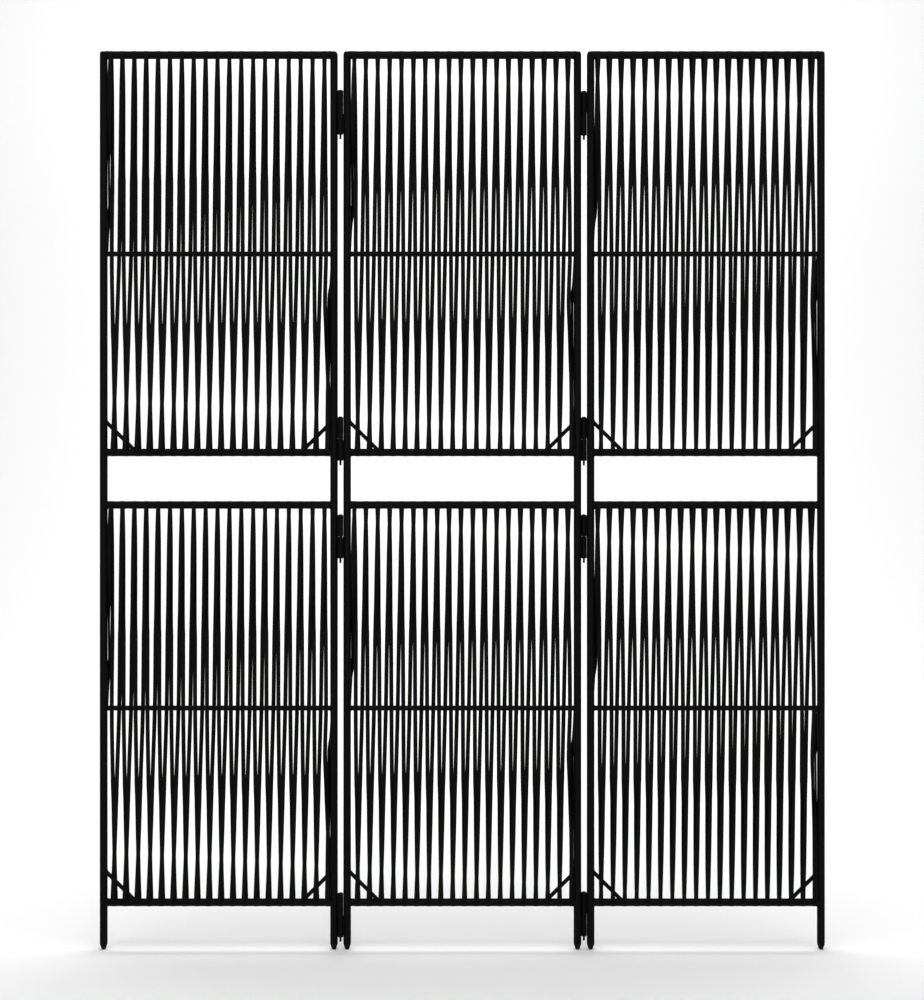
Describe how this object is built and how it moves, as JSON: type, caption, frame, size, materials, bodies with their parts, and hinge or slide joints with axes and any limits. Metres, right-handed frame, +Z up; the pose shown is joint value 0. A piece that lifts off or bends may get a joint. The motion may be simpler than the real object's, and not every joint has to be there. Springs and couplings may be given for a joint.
{
  "type": "room divider",
  "caption": "Folding room divider: panels of round black steel tube laced with flat black poly-rattan strip, joined by pin hinges, on small domed feet.",
  "frame": {"origin": "on the floor, under the middle of the middle panel", "axes": "+Z up, +X to the right along the flat screen, the front faces -Y"},
  "size_m": [1.4518, 0.0182, 1.7987],
  "materials": {
    "frame": "satin black powder coat",
    "rattan": "satin, lightly grained",
    "foot_plastic": "matt",
    "pin_steel": "satin black"
  },
  "bodies": {
    "middle_panel": {"middle_left_post": "frame", "middle_right_post": "frame", "middle_top_rail": "frame", "middle_upper_field_bottom_rail": "frame", "middle_lower_field_top_rail": "frame", "middle_bottom_rail": "frame", "middle_upper_rod": "frame", "middle_lower_rod": "frame", "middle_corner_braces": "frame", "middle_feet": "foot_plastic", "middle_upper_rattan": "rattan", "middle_lower_rattan": "rattan", "left_hinge_lower_barrels": "frame", "right_hinge_lower_barrels": "frame"},
    "left_panel": {"left_left_post": "frame", "left_right_post": "frame", "left_top_rail": "frame", "left_upper_field_bottom_rail": "frame", "left_lower_field_top_rail": "frame", "left_bottom_rail": "frame", "left_upper_rod": "frame", "left_lower_rod": "frame", "left_corner_braces": "frame", "left_feet": "foot_plastic", "left_upper_rattan": "rattan", "left_lower_rattan": "rattan", "left_hinge_upper_barrels": "frame", "left_hinge_pins": "pin_steel"},
    "right_panel": {"right_left_post": "frame", "right_right_post": "frame", "right_top_rail": "frame", "right_upper_field_bottom_rail": "frame", "right_lower_field_top_rail": "frame", "right_bottom_rail": "frame", "right_upper_rod": "frame", "right_lower_rod": "frame", "right_corner_braces": "frame", "right_feet": "foot_plastic", "right_upper_rattan": "rattan", "right_lower_rattan": "rattan", "right_hinge_upper_barrels": "frame", "right_hinge_pins": "pin_steel"}
  },
  "joints": [
    {"name": "left_fold", "type": "hinge", "parent": "middle_panel", "child": "left_panel", "pos_m": [-0.2438, -0.0033, 0.069], "axis": [0, 0, 1], "range_deg": [-79, 135]},
    {"name": "right_fold", "type": "hinge", "parent": "middle_panel", "child": "right_panel", "pos_m": [0.2438, 0.0033, 0.069], "axis": [0, 0, 1], "range_deg": [-79, 135]}
  ]
}
